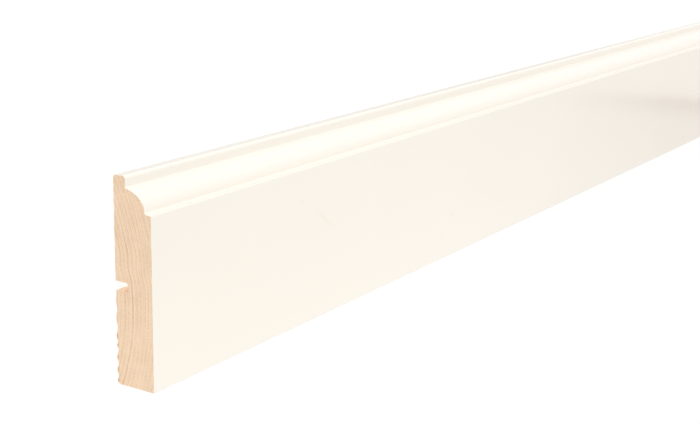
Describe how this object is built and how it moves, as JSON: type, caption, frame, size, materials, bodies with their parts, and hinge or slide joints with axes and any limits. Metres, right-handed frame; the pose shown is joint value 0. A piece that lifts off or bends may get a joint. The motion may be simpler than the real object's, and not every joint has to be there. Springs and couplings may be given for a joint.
{
  "type": "skirting board length",
  "caption": "Straight length of painted pine skirting board with a bead, ovolo and fillet along its top edge and a relief groove in its back",
  "frame": {"origin": "centre of the back, halfway along the board, on the plane it lies on", "axes": "+X along the board, +Y from the floor edge to the bead, +Z out from the wall through the moulded face"},
  "size_m": [2.4, 0.095, 0.021],
  "materials": {
    "painted_pine": "warm white primer paint on the face and both long edges, bare sawn pine on the ends and the back"
  },
  "bodies": {
    "root": {"skirting_board": "painted_pine"}
  },
  "joints": []
}
